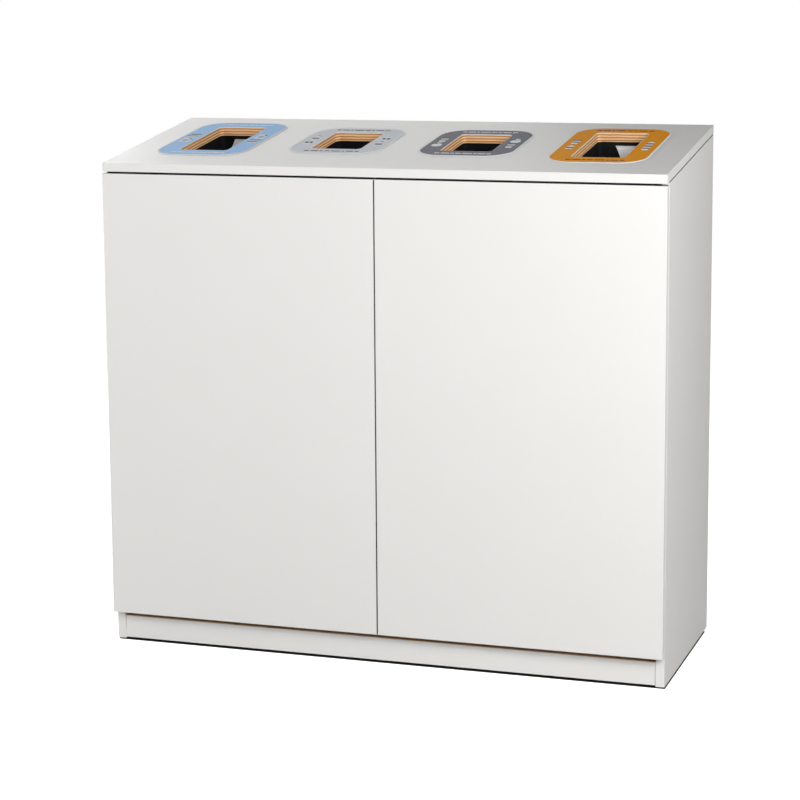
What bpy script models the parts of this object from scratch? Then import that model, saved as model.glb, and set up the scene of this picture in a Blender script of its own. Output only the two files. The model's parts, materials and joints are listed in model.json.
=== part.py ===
"""Recycling bin station: a cabinet with four drop openings in its sloping top and four bins inside.

Metres, +Z up. X runs along the front, the doors face -Y, and the origin is on the floor under the
middle of the cabinet. "Depth" below is counted backwards from the doors' front faces, and "inset"
is counted inwards from the outer face of the nearer side panel.
"""

import math

import bmesh
import bpy
from mathutils import Matrix, Vector

# Driving dimensions of the cabinet
WIDTH = 1.200
DEPTH = 0.470
FRONT_HEIGHT = 1.0335
TOP_TILT = math.radians(8)
BOARD = 0.018
BACK_BOARD = 0.008
FIT = 0.0003  # left between pieces that touch
TOP_SEAM = 0.0018  # shadow line between the top and the side panels
GLIDE_HEIGHT = 0.003
GLIDE_FRONT_DEPTH = 0.060
GLIDE_REAR_DEPTH = 0.430

# Doors, and the reveals around them
DOOR_BOTTOM = 0.066
REVEAL_TOP = 0.0038
REVEAL_MIDDLE = 0.003
REVEAL_BACK = 0.0025

# Plinth, floor and front rail
PLINTH_TOP = 0.0535
PLINTH_SETBACK = 0.003
PLINTH_LIFT = 0.002  # above the side panels' lower edges
FLOOR_UNDERSIDE = 0.060
RAIL_HEIGHT = 0.072
RAIL_DEPTH = 0.0240

# Four stations along the top: colour name, label length, opening length
PITCH = 0.286
STATION_MIDDLE = 0.2525  # along the slope, from the front upper edge
STATIONS = (
    ("blue", 0.330, 0.235),
    ("light_grey", 0.254, 0.165),
    ("dark_grey", 0.254, 0.165),
    ("orange", 0.330, 0.235),
)
LABEL_WIDTH = 0.206
LABEL_CORNER = 0.058
LABEL_THICKNESS = 0.001
OPENING_WIDTH = 0.110
OPENING_CORNER = 0.010

# Chutes under the openings
CHUTE_WALL = 0.0025
CHUTE_SETBACK = 0.002
CHUTE_FLANGE = 0.020
CHUTE_DROP = 0.105

# Bins
BIN_WIDTH = 0.250
BIN_LENGTH = 0.360
BIN_HEIGHT = 0.795
BIN_DRAFT = 0.014
BIN_CORNER = 0.035
BIN_WALL = 0.003
BIN_RIM = 0.010
BIN_RIM_DROP = 0.018
BIN_BACK_GAP = 0.007

# Concealed cup hinges, as insets and depths at the closed door
HINGE_END_DISTANCE = 0.110
ARM_PIVOT = (0.0315, 0.015)
CUP_PIVOT = (0.012, 0.012)
CUP_MIDDLE = 0.0205
CUP_RADIUS = 0.0175
CUP_WALL = 0.0012
CUP_BOTTOM = 0.0065
CUP_FLANGE = (0.037, 0.056)
CUP_FLANGE_THICKNESS = 0.001
BORE_CLEARANCE = 0.0003
LINK_THICKNESS = 0.0025
LINK_HALF_HEIGHT = 0.005
PIN_RADIUS = 0.0011
KNUCKLE_RADIUS = 0.0026
CHEEK = 0.0015

# Push latches
LATCH_HEIGHT = 0.915
LATCH_SIZE = 0.016
LATCH_DEPTH = 0.0240
LATCH_LENGTH = 0.060
PLUNGER_RADIUS = 0.004
PLUNGER_LENGTH = 0.040
STRIKE_RADIUS = 0.007
STRIKE_THICKNESS = 0.001

CORNER_STEPS = 6
SIDES = (("left", -1), ("right", 1))

DOOR_TOP = FRONT_HEIGHT - BOARD / math.cos(TOP_TILT) - REVEAL_TOP
DOOR_WIDTH = (WIDTH - REVEAL_MIDDLE) / 2
CARCASS_FRONT = BOARD + REVEAL_BACK  # depth of the side panels' front edges
FLOOR_TOP = FLOOR_UNDERSIDE + BOARD
BACK_DEPTH = DEPTH - BACK_BOARD
HINGE_HEIGHTS = (
    ("upper", DOOR_TOP - HINGE_END_DISTANCE),
    ("middle", (DOOR_TOP + DOOR_BOTTOM) / 2),
    ("lower", DOOR_BOTTOM + HINGE_END_DISTANCE),
)


def world_y(depth):
    return depth - DEPTH / 2


def under_top(depth):
    """Height of the top board's underside at this depth."""
    return FRONT_HEIGHT + depth * math.tan(TOP_TILT) - BOARD / math.cos(TOP_TILT)


def station_x(index):
    return (index - (len(STATIONS) - 1) / 2) * PITCH


# Materials


def material(name, colour, roughness, metallic=0.0):
    made = bpy.data.materials.new(name)
    made.use_nodes = True
    shader = made.node_tree.nodes["Principled BSDF"]
    shader.inputs["Base Color"].default_value = (*colour, 1.0)
    shader.inputs["Roughness"].default_value = roughness
    shader.inputs["Metallic"].default_value = metallic
    return made


def make_materials():
    return {
        "laminate": material("white_laminate", (0.80, 0.80, 0.79), 0.45),
        "blue": material("blue_label", (0.28, 0.42, 0.62), 0.5),
        "light_grey": material("light_grey_label", (0.45, 0.47, 0.50), 0.5),
        "dark_grey": material("dark_grey_label", (0.16, 0.18, 0.21), 0.5),
        "orange": material("orange_label", (0.60, 0.28, 0.04), 0.5),
        "black": material("black_plastic", (0.02, 0.02, 0.022), 0.5),
        "steel": material("nickelled_steel", (0.62, 0.61, 0.58), 0.3, 1.0),
        "grey": material("grey_plastic", (0.30, 0.30, 0.31), 0.5),
    }


# Mesh builders


def mesh_from(bm, name, smooth_angle=None):
    """Ends a closed bmesh: faces out, and round stretches smooth when an angle is given."""
    bmesh.ops.recalc_face_normals(bm, faces=bm.faces[:])
    mesh = bpy.data.meshes.new(name)
    bm.to_mesh(mesh)
    bm.free()
    if smooth_angle is not None:
        mesh.shade_smooth()
        mesh.set_sharp_from_angle(angle=smooth_angle)
    return mesh


def prism(name, outline, low, high, axis="X"):
    """A closed outline carried from low to high. The outline's two values are the other two axes."""
    place = {
        "X": lambda a, b, level: (level, a, b),
        "Y": lambda a, b, level: (a, level, b),
        "Z": lambda a, b, level: (a, b, level),
    }[axis]
    bm = bmesh.new()
    base = bm.faces.new([bm.verts.new(place(a, b, low)) for a, b in outline])
    grown = bmesh.ops.extrude_face_region(bm, geom=[base])["geom"]
    moved = [item for item in grown if isinstance(item, bmesh.types.BMVert)]
    bmesh.ops.translate(bm, verts=moved, vec=Vector(place(0, 0, high - low)))
    return mesh_from(bm, name)


def block(name, low, high):
    outline = ((low[0], low[1]), (high[0], low[1]), (high[0], high[1]), (low[0], high[1]))
    return prism(name, outline, low[2], high[2], "Z")


def rounded(width, length, radius, level, middle=(0.0, 0.0)):
    """Points of a rounded rectangle, anticlockwise. Equal sides of twice the radius give a circle."""
    points = []
    for quarter, (sign_x, sign_y) in enumerate(((1, 1), (-1, 1), (-1, -1), (1, -1))):
        centre_x = middle[0] + sign_x * (width / 2 - radius)
        centre_y = middle[1] + sign_y * (length / 2 - radius)
        for step in range(CORNER_STEPS + 1):
            angle = (quarter + step / CORNER_STEPS) * math.pi / 2
            x = centre_x + radius * math.cos(angle)
            y = centre_y + radius * math.sin(angle)
            points.append((x, y, level))
    return points


def circle(radius, level, middle=(0.0, 0.0)):
    """A circle with the same number of points as a rounded rectangle."""
    count = 4 * (CORNER_STEPS + 1)
    turns = [2 * math.pi * (step + 0.5) / count for step in range(count)]
    return [(middle[0] + radius * math.cos(t), middle[1] + radius * math.sin(t), level) for t in turns]


def loft(name, rings, closed=False):
    """A skin through rings of equal counts: capped at both ends, or closed back on the first ring."""
    bm = bmesh.new()
    rows = [[bm.verts.new(point) for point in ring] for ring in rings]
    pairs = list(zip(rows, rows[1:]))
    if closed:
        pairs.append((rows[-1], rows[0]))
    else:
        bm.faces.new(rows[0])
        bm.faces.new(rows[-1])
    for row, above in pairs:
        for index in range(len(row)):
            after = (index + 1) % len(row)
            bm.faces.new((row[index], row[after], above[after], above[index]))
    return mesh_from(bm, name, math.radians(30))


def combined(name, operation, base, tool):
    """One mesh from two, by an exact Boolean."""
    pieces = [bpy.data.objects.new(name, mesh) for mesh in (base, tool)]
    for piece in pieces:
        bpy.context.scene.collection.objects.link(piece)
    modifier = pieces[0].modifiers.new("combine", "BOOLEAN")
    modifier.operation = operation
    modifier.solver = "EXACT"
    modifier.object = pieces[1]
    graph = bpy.context.evaluated_depsgraph_get()
    result = bpy.data.meshes.new_from_object(pieces[0].evaluated_get(graph))
    result.name = name
    for piece in pieces:
        bpy.data.objects.remove(piece)
    return result


def add(name, mesh, finish, parent=None, location=(0, 0, 0), rotation=(0, 0, 0)):
    piece = bpy.data.objects.new(name, mesh)
    bpy.context.scene.collection.objects.link(piece)
    if not mesh.materials:
        mesh.materials.append(finish)
    piece.parent = parent
    piece.location = location
    piece.rotation_euler = rotation
    return piece


def add_pivot(name, location, parent=None):
    pivot = bpy.data.objects.new(name, None)
    bpy.context.scene.collection.objects.link(pivot)
    pivot.empty_display_size = 0.05
    pivot.parent = parent
    pivot.location = location
    return pivot


# Cabinet boards


def board(name, finish, x_range, depth_range, z_range):
    low = (x_range[0], world_y(depth_range[0]), z_range[0])
    high = (x_range[1], world_y(depth_range[1]), z_range[1])
    return add(name, block(name, low, high), finish)


def upright(name, finish, x_low, back_depth, bottom, seam, notch=None):
    """A full-height board across X, its top edge cut to the slope of the top.

    notch is the Y and Z of the inner corner of a notch for the plinth, at the lower front corner.
    """
    front = world_y(CARCASS_FRONT)
    back = world_y(back_depth)
    outline = [(front, notch[1]), notch, (notch[0], bottom)] if notch else [(front, bottom)]
    outline += [
        (back, bottom),
        (back, under_top(back_depth) - seam),
        (front, under_top(CARCASS_FRONT) - seam),
    ]
    return add(name, prism(name, outline, x_low, x_low + BOARD), finish)


def top_panel_mesh():
    """The top board in its own plane: X along the front, Y up the slope, Z out of the upper face."""
    slope_length = DEPTH / math.cos(TOP_TILT)
    corners = [(-WIDTH / 2, 0, 0), (WIDTH / 2, 0, 0)]
    corners += [(WIDTH / 2, slope_length, 0), (-WIDTH / 2, slope_length, 0)]
    loops = [corners]
    for index, (_, _, opening) in enumerate(STATIONS):
        middle = (station_x(index), STATION_MIDDLE)
        loops.append(rounded(OPENING_WIDTH, opening, OPENING_CORNER, 0, middle))
    bm = bmesh.new()
    edges = []
    for loop in loops:
        points = [bm.verts.new(point) for point in loop]
        edges += [bm.edges.new((a, b)) for a, b in zip(points, points[1:] + points[:1])]
    outer = {0.0, slope_length}
    bmesh.ops.triangle_fill(bm, use_beauty=True, edges=edges)
    grown = bmesh.ops.extrude_face_region(bm, geom=bm.faces[:])["geom"]
    for vert in (item for item in grown if isinstance(item, bmesh.types.BMVert)):
        on_edge = min(abs(vert.co.y - level) for level in outer) < FIT
        vert.co.z -= BOARD
        if on_edge:  # the front and back edges are cut upright
            vert.co.y -= BOARD * math.tan(TOP_TILT)
    return mesh_from(bm, "top_panel")


def build_cabinet(finishes):
    white = finishes["laminate"]
    inner = WIDTH / 2 - BOARD - FIT
    bay_middle = BOARD / 2 + FIT
    slope = (TOP_TILT, 0, 0)
    front_edge = (0, world_y(0), FRONT_HEIGHT)
    add("top_panel", top_panel_mesh(), white, None, front_edge, slope)
    foot = GLIDE_HEIGHT + FIT
    upright("left_side_panel", white, -WIDTH / 2, DEPTH, foot, TOP_SEAM)
    upright("right_side_panel", white, WIDTH / 2 - BOARD, DEPTH, foot, TOP_SEAM)
    plinth_front = CARCASS_FRONT + PLINTH_SETBACK
    plinth_back = plinth_front + BOARD
    plinth_levels = (foot + PLINTH_LIFT, PLINTH_TOP)
    board("plinth_board", white, (-inner, inner), (plinth_front, plinth_back), plinth_levels)
    notch = (world_y(plinth_back + FIT), FLOOR_UNDERSIDE)
    upright("centre_partition", white, -BOARD / 2, BACK_DEPTH - FIT, foot, FIT, notch)
    back_top = under_top(BACK_DEPTH) - FIT
    board("back_panel", white, (-inner, inner), (BACK_DEPTH, DEPTH), (FLOOR_UNDERSIDE, back_top))
    rail_top = under_top(RAIL_DEPTH) - FIT
    for side, sign in SIDES:
        x_range = sorted((sign * bay_middle, sign * inner))
        floor_depths = (CARCASS_FRONT, BACK_DEPTH - FIT)
        board(f"{side}_floor_panel", white, x_range, floor_depths, (FLOOR_UNDERSIDE, FLOOR_TOP))
        rail_depths = (RAIL_DEPTH, RAIL_DEPTH + BOARD)
        rail_levels = (rail_top - RAIL_HEIGHT, rail_top)
        board(f"{side}_front_rail", white, x_range, rail_depths, rail_levels)


def build_glides(finishes):
    rings = [circle(0.007, 0), circle(0.008, 0.001), circle(0.008, GLIDE_HEIGHT)]
    mesh = loft("glide", rings)
    side_x = WIDTH / 2 - BOARD / 2
    for column, x in (("left", -side_x), ("centre", 0), ("right", side_x)):
        for row, depth in (("front", GLIDE_FRONT_DEPTH), ("rear", GLIDE_REAR_DEPTH)):
            place = (x, world_y(depth), 0)
            add(f"{column}_{row}_glide", mesh, finishes["grey"], None, place)


# Stations on the top: label, opening and chute


def build_stations(finishes):
    slope = (TOP_TILT, 0, 0)
    for index, (colour, label_length, opening) in enumerate(STATIONS):
        x = station_x(index)
        up_slope = Vector((0, STATION_MIDDLE, 0))
        up_slope.rotate(Matrix.Rotation(TOP_TILT, 3, "X"))
        place = Vector((x, world_y(0), FRONT_HEIGHT)) + up_slope
        label = label_mesh(f"{colour}_label", label_length, opening)
        add(f"{colour}_label", label, finishes[colour], None, place, slope)
        chute = chute_mesh(f"{colour}_chute", opening)
        add(f"{colour}_chute", chute, finishes["black"], None, place, slope)


def label_mesh(name, length, opening):
    hole_width = OPENING_WIDTH + 2 * FIT
    hole_length = opening + 2 * FIT
    upper = FIT + LABEL_THICKNESS
    rings = [
        rounded(LABEL_WIDTH, length, LABEL_CORNER, FIT),
        rounded(LABEL_WIDTH, length, LABEL_CORNER, upper),
        rounded(hole_width, hole_length, OPENING_CORNER, upper),
        rounded(hole_width, hole_length, OPENING_CORNER, FIT),
    ]
    return loft(name, rings, closed=True)


def chute_mesh(name, opening):
    """A collar under the opening: a flange against the top's underside and a skirt below it."""
    inner = (OPENING_WIDTH + 2 * CHUTE_SETBACK, opening + 2 * CHUTE_SETBACK)
    outer = [size + 2 * CHUTE_WALL for size in inner]
    flange = [size + 2 * CHUTE_FLANGE for size in inner]
    corner = OPENING_CORNER + CHUTE_SETBACK
    seat = -BOARD - FIT
    under = seat - CHUTE_WALL
    foot = -BOARD - CHUTE_DROP
    rings = [
        rounded(*inner, corner, foot),
        rounded(*inner, corner, seat),
        rounded(*flange, corner, seat),
        rounded(*flange, corner, under),
        rounded(*outer, corner + CHUTE_WALL, under),
        rounded(*outer, corner + CHUTE_WALL, foot),
    ]
    return loft(name, rings, closed=True)


# Bins


def bin_mesh():
    """A tall open bin with drafted walls, and a rim turned down outside."""
    width = BIN_WIDTH - 2 * BIN_RIM
    length = BIN_LENGTH - 2 * BIN_RIM
    bottom_width = width - 2 * BIN_DRAFT
    bottom_length = length - 2 * BIN_DRAFT
    wall = 2 * BIN_WALL
    rim_foot = BIN_HEIGHT - BIN_RIM_DROP
    drafted = 2 * BIN_DRAFT * rim_foot / BIN_HEIGHT
    rings = [
        rounded(bottom_width, bottom_length, BIN_CORNER, 0),
        rounded(bottom_width + drafted, bottom_length + drafted, BIN_CORNER, rim_foot),
        rounded(BIN_WIDTH, BIN_LENGTH, BIN_CORNER + BIN_RIM, rim_foot),
        rounded(BIN_WIDTH, BIN_LENGTH, BIN_CORNER + BIN_RIM, BIN_HEIGHT),
        rounded(width - wall, length - wall, BIN_CORNER - BIN_WALL, BIN_HEIGHT),
        rounded(bottom_width - wall, bottom_length - wall, BIN_CORNER - BIN_WALL, BIN_WALL),
    ]
    return loft("bin", rings)


def build_bins(finishes):
    mesh = bin_mesh()
    middle = BACK_DEPTH - BIN_BACK_GAP - BIN_LENGTH / 2
    for index, (colour, _, _) in enumerate(STATIONS):
        place = (station_x(index), world_y(middle), FLOOR_TOP + FIT)
        add(f"{colour}_stream_bin", mesh, finishes["black"], None, place)


# Doors and their hinges


def hinge_point(sign, point):
    """World X and Y of an (inset, depth) pair on the left (-1) or right (+1) side."""
    return Vector((sign * (WIDTH / 2 - point[0]), world_y(point[1]), 0))


def seen_from_side(sign, outline, middle=(0.0, 0.0)):
    """An outline of (inset, depth) pairs as X, Y pairs about the middle pair."""
    return [(-sign * (inset - middle[0]), depth - middle[1]) for inset, depth in outline]


def arc(centre, radius, start, end, steps=8):
    """Points on an arc in inset and depth, angles in degrees from the inward direction."""
    points = []
    for step in range(steps + 1):
        angle = math.radians(start + (end - start) * step / steps)
        points.append((centre[0] + radius * math.cos(angle), centre[1] + radius * math.sin(angle)))
    return points


def door_mesh(name, sign):
    """The door about its cup pivot, with a blind bore for each hinge cup."""
    outline = ((0, 0), (DOOR_WIDTH, 0), (DOOR_WIDTH, BOARD), (0, BOARD))
    panel = prism(name, seen_from_side(sign, outline, CUP_PIVOT), DOOR_BOTTOM, DOOR_TOP, "Z")
    bore_radius = CUP_RADIUS + BORE_CLEARANCE
    bore_x = -sign * (CUP_MIDDLE - CUP_PIVOT[0])
    bore_floor = CUP_BOTTOM - BORE_CLEARANCE - CUP_PIVOT[1]
    through = BOARD - CUP_PIVOT[1] + 0.010
    for _, height in HINGE_HEIGHTS:
        rings = [circle(bore_radius, level) for level in (bore_floor, through)]
        bore = loft("bore", rings)
        bore.transform(Matrix.Translation((bore_x, 0, height)) @ facing_back())
        panel = combined(name, "DIFFERENCE", panel, bore)
    return panel


def facing_back():
    """Turns a shape built along +Z so that it points backwards, along +Y."""
    return Matrix.Rotation(math.radians(-90), 4, "X")


def cup_mesh(sign):
    """The cup about its pivot: a shell open to the back, a flange on the door, and its pin across."""
    reach = CUP_MIDDLE - CUP_PIVOT[0]
    floor = CUP_BOTTOM - CUP_PIVOT[1]
    seat = BOARD + FIT - CUP_PIVOT[1]
    face = seat + CUP_FLANGE_THICKNESS
    inner = CUP_RADIUS - CUP_WALL
    corner = 0.006
    rings = [
        circle(inner, floor + CUP_WALL),
        circle(inner, face),
        rounded(*CUP_FLANGE, corner, face),
        rounded(*CUP_FLANGE, corner, seat),
        circle(CUP_RADIUS, seat),
        circle(CUP_RADIUS, floor),
    ]
    shell = loft("cup", rings)
    shell.transform(Matrix.Translation((-sign * reach, 0, 0)) @ facing_back())
    pin_half = math.sqrt(CUP_RADIUS**2 - reach**2) - CUP_WALL / 2
    pin = loft("pin", [circle(PIN_RADIUS, -pin_half), circle(PIN_RADIUS, pin_half)])
    return combined("hinge_cup", "UNION", shell, pin)


def link_mesh(sign):
    """The link about the arm pivot: a bar bent round the cup's rim, with its pin through the fork."""
    half = LINK_THICKNESS / 2
    eye = PIN_RADIUS + FIT
    away = (CUP_PIVOT[0] - ARM_PIVOT[0], CUP_PIVOT[1] - ARM_PIVOT[1])
    outer = 0.0024
    knuckle = 0.0024
    bend = (-0.0100, -0.0048)
    outline = arc((0, 0), knuckle, -110, 130)
    outline += [(bend[0], bend[1] + half)]
    outline += arc(away, outer, 60, 300)
    outline += [(bend[0] + 0.0005, bend[1] - half)]
    bar = prism("link", seen_from_side(sign, outline), -LINK_HALF_HEIGHT, LINK_HALF_HEIGHT, "Z")
    over = LINK_HALF_HEIGHT + FIT
    hole = loft("eye", [circle(eye, -over), circle(eye, over)])
    hole.transform(Matrix.Translation((-sign * away[0], away[1], 0)))
    bar = combined("link", "DIFFERENCE", bar, hole)
    pin_half = LINK_HALF_HEIGHT + FIT + CHEEK
    pin = loft("pin", [circle(PIN_RADIUS, -pin_half), circle(PIN_RADIUS, pin_half)])
    return combined("hinge_link", "UNION", bar, pin)


def arm_mesh(sign):
    """The arm about the arm pivot: a body over its plate, and a fork that reaches into the cup."""
    body_front = 0.019
    body_back = 0.069
    outline = arc((0, 0), KNUCKLE_RADIUS, 180, 360)
    outline += [(KNUCKLE_RADIUS, 0.012), (0.0015, 0.018), (0.0015, body_back)]
    outline += [(-0.0067, body_back), (-0.0067, body_front), (-KNUCKLE_RADIUS, 0.013)]
    cheek_inner = LINK_HALF_HEIGHT + FIT
    half = cheek_inner + CHEEK
    body = prism("arm", seen_from_side(sign, outline), -half, half, "Z")
    fork_back = 0.0105
    slot = block("slot", (-0.02, -0.02, -cheek_inner), (0.02, fork_back, cheek_inner))
    body = combined("arm", "DIFFERENCE", body, slot)
    eye = PIN_RADIUS + FIT
    hole = loft("eye", [circle(eye, -0.02), circle(eye, 0.02)])
    return combined("hinge_arm", "DIFFERENCE", body, hole)


def plate_mesh(sign):
    """The mounting plate about the side panel's inner face: two wings and a raised rail."""
    wing, rail = 0.023, 0.0065
    low, wing_top, rail_top = FIT, 0.0025, 0.0065
    outline = [(low, -wing), (wing_top, -wing), (wing_top, -rail), (rail_top, -rail)]
    outline += [(rail_top, rail), (wing_top, rail), (wing_top, wing), (low, wing)]
    outline = [(-sign * inset, height) for inset, height in outline]
    return prism("hinge_plate", outline, 0, 0.024, "Y")


def build_side(finishes, side, sign):
    """One door with its three hinges, its strike plate and its latch."""
    arm_pivot = hinge_point(sign, ARM_PIVOT)
    cup_pivot = hinge_point(sign, CUP_PIVOT)
    link_axis = add_pivot(f"{side}_link_axis", arm_pivot)
    door_axis = add_pivot(f"{side}_door_axis", cup_pivot - arm_pivot, link_axis)
    plate_place = hinge_point(sign, (BOARD, CARCASS_FRONT + 0.0255))
    steel = finishes["steel"]
    add(f"{side}_door", door_mesh(f"{side}_door", sign), finishes["laminate"], door_axis)
    plate, arm, link, cup = plate_mesh(sign), arm_mesh(sign), link_mesh(sign), cup_mesh(sign)
    for level, height in HINGE_HEIGHTS:
        lift = Vector((0, 0, height))
        name = f"{side}_{level}_hinge"
        add(f"{name}_plate", plate, steel, None, plate_place + lift)
        add(f"{name}_arm", arm, steel, None, arm_pivot + lift)
        add(f"{name}_link", link, steel, link_axis, lift)
        add(f"{name}_cup", cup, steel, door_axis, lift)


# Push latches


def build_latch(finishes, side, sign):
    """A sprung plunger in a housing on the partition, and the plate that it meets on the door."""
    x = sign * (BOARD / 2 + FIT + LATCH_SIZE / 2)
    half = LATCH_SIZE / 2
    bore = PLUNGER_RADIUS + FIT
    rings = [
        rounded(2 * bore, 2 * bore, bore, 0),
        rounded(LATCH_SIZE, LATCH_SIZE, 0.002, 0),
        rounded(LATCH_SIZE, LATCH_SIZE, 0.002, LATCH_LENGTH),
        rounded(2 * bore, 2 * bore, bore, LATCH_LENGTH),
    ]
    housing = loft("latch_housing", rings, closed=True)
    housing.transform(facing_back())
    place = (x, world_y(LATCH_DEPTH), LATCH_HEIGHT)
    add(f"{side}_latch_housing", housing, finishes["grey"], None, place)
    strike_depth = BOARD + FIT
    tip_depth = strike_depth + STRIKE_THICKNESS + FIT
    profile = ((0.0030, 0), (PLUNGER_RADIUS, 0.001), (PLUNGER_RADIUS, PLUNGER_LENGTH))
    plunger = loft("latch_plunger", [circle(radius, level) for radius, level in profile])
    plunger.transform(facing_back())
    place = (x, world_y(tip_depth), LATCH_HEIGHT)
    add(f"{side}_latch_plunger", plunger, finishes["grey"], None, place)
    profile = ((STRIKE_RADIUS, 0), (STRIKE_RADIUS, STRIKE_THICKNESS))
    strike = loft("strike_plate", [circle(radius, level) for radius, level in profile])
    strike.transform(facing_back())
    place = (x, world_y(strike_depth), LATCH_HEIGHT)
    add(f"{side}_strike_plate", strike, finishes["steel"], None, place)


def clear_scene():
    for piece in list(bpy.data.objects):
        bpy.data.objects.remove(piece)


def main():
    clear_scene()
    finishes = make_materials()
    build_cabinet(finishes)
    build_glides(finishes)
    build_stations(finishes)
    build_bins(finishes)
    for side, sign in SIDES:
        build_side(finishes, side, sign)
        build_latch(finishes, side, sign)


main()
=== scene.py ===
"""Looks of the recycling bin station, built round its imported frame.

Every place comes from the frame's solids. "Slope" coordinates lie in the top board's own plane:
X along the front, Y up the slope from the front upper edge, Z out of the upper face.
"""

import json
import math

import bmesh
import bpy
from mathutils import Matrix, Vector

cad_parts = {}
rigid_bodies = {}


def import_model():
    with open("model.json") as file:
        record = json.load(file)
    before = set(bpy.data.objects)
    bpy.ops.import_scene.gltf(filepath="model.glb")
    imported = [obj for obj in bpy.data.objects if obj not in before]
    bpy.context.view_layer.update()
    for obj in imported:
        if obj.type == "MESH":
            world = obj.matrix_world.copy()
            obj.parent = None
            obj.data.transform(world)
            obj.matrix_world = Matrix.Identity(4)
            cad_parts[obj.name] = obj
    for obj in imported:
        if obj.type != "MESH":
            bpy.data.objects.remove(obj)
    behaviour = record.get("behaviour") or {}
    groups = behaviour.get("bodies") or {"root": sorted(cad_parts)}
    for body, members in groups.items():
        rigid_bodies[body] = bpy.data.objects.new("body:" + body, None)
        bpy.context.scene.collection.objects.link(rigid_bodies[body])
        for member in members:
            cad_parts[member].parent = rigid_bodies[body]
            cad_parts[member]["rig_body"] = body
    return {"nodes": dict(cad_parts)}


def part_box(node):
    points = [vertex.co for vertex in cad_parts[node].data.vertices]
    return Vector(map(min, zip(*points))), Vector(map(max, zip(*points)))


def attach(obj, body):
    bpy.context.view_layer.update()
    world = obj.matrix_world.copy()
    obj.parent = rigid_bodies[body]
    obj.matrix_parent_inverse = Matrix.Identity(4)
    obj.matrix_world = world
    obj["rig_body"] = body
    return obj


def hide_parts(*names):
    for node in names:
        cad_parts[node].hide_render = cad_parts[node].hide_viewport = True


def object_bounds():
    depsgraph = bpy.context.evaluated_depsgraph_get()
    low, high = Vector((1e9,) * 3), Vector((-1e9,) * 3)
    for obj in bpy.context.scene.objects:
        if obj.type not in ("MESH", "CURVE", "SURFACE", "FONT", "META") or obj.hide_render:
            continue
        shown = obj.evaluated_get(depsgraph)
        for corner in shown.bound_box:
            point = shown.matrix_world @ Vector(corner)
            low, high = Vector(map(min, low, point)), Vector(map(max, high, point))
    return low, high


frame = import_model()
cad_box = [list(corner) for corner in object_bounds()]

SIDES = (("left", -1), ("right", 1))
LEVELS = ("upper", "middle", "lower")
COLOURS = ("blue", "light_grey", "dark_grey", "orange")
MM = 0.001


# The top board's plane, read from the frame


def slope_frame():
    """The matrix from slope coordinates to the frame's, and the board's thickness."""
    low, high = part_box("top_panel")
    points = [vert.co for vert in frame["nodes"]["top_panel"].data.vertices]
    front = [point.z for point in points if point.y < low.y + 0.1 * MM]
    tilt = math.atan2(high.z - max(front), high.y - low.y)
    thickness = (max(front) - min(front)) * math.cos(tilt)
    place = Matrix.Translation((0, low.y, max(front))) @ Matrix.Rotation(tilt, 4, "X")
    return place, thickness, tilt


SLOPE, BOARD, TILT = slope_frame()


def body_of(node):
    return frame["nodes"][node]["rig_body"]


# Node graphs: shader maths and geometry trees are both written with these two classes


class Signal:
    """A node's output that takes part in arithmetic."""

    def __init__(self, graph, socket):
        self.graph = graph
        self.socket = socket

    def _math(self, operation, first, second):
        return self.graph.node("ShaderNodeMath", {"operation": operation}, {0: first, 1: second})

    def __add__(self, other):
        return self._math("ADD", self, other)

    def __sub__(self, other):
        return self._math("SUBTRACT", self, other)

    def __rsub__(self, other):
        return self._math("SUBTRACT", other, self)

    def __mul__(self, other):
        return self._math("MULTIPLY", self, other)

    def __truediv__(self, other):
        return self._math("DIVIDE", self, other)

    __radd__ = __add__
    __rmul__ = __mul__

    def fraction(self):
        return self._math("FRACT", self, 0.0)

    def smooth(self, low, high):
        """0 below low and 1 above high, eased between them."""
        settings = {"interpolation_type": "SMOOTHSTEP"}
        return self.graph.node("ShaderNodeMapRange", settings, {0: self, 1: low, 2: high})


class Graph:
    """Adds nodes to one tree."""

    def __init__(self, tree):
        self.tree = tree

    def node(self, kind, settings=None, sockets=None, output=0):
        made = self.tree.nodes.new(kind)
        for name, value in (settings or {}).items():
            setattr(made, name, value)
        for key, value in (sockets or {}).items():
            if isinstance(value, Signal):
                self.tree.links.new(value.socket, made.inputs[key])
            else:
                made.inputs[key].default_value = value
        return Signal(self, made.outputs[output])

    def more(self, signal, output):
        """Another output of the node that a signal comes from."""
        return Signal(self, signal.socket.node.outputs[output])

    def vector(self, operation, first, second, output=0):
        sockets = {0: first, 1: second}
        return self.node("ShaderNodeVectorMath", {"operation": operation}, sockets, output)

    def mix(self, mask, first, second):
        """A colour between two, linear RGB."""
        first, second = (c if isinstance(c, Signal) else (*c, 1.0) for c in (first, second))
        return self.node("ShaderNodeMix", {"data_type": "RGBA"}, {0: mask, 6: first, 7: second}, 2)

    def place(self, scale=(1.0, 1.0, 1.0), turn=(0.0, 0.0, 0.0)):
        """Object coordinates, which are the frame's metres, turned and then scaled."""
        raw = self.node("ShaderNodeTexCoord", output=3)
        turned = self.node("ShaderNodeMapping", None, {"Vector": raw, "Rotation": turn})
        return self.vector("MULTIPLY", turned, scale)

    def noise(self, place, scale, detail=2.0, rough=0.5):
        sockets = {"Vector": place, "Scale": scale, "Detail": detail, "Roughness": rough}
        return self.node("ShaderNodeTexNoise", None, sockets)

    def bump(self, height, strength, distance, normal=None):
        sockets = {"Height": height, "Strength": strength, "Distance": distance}
        if normal:
            sockets["Normal"] = normal
        return self.node("ShaderNodeBump", None, sockets)


# Materials


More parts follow.
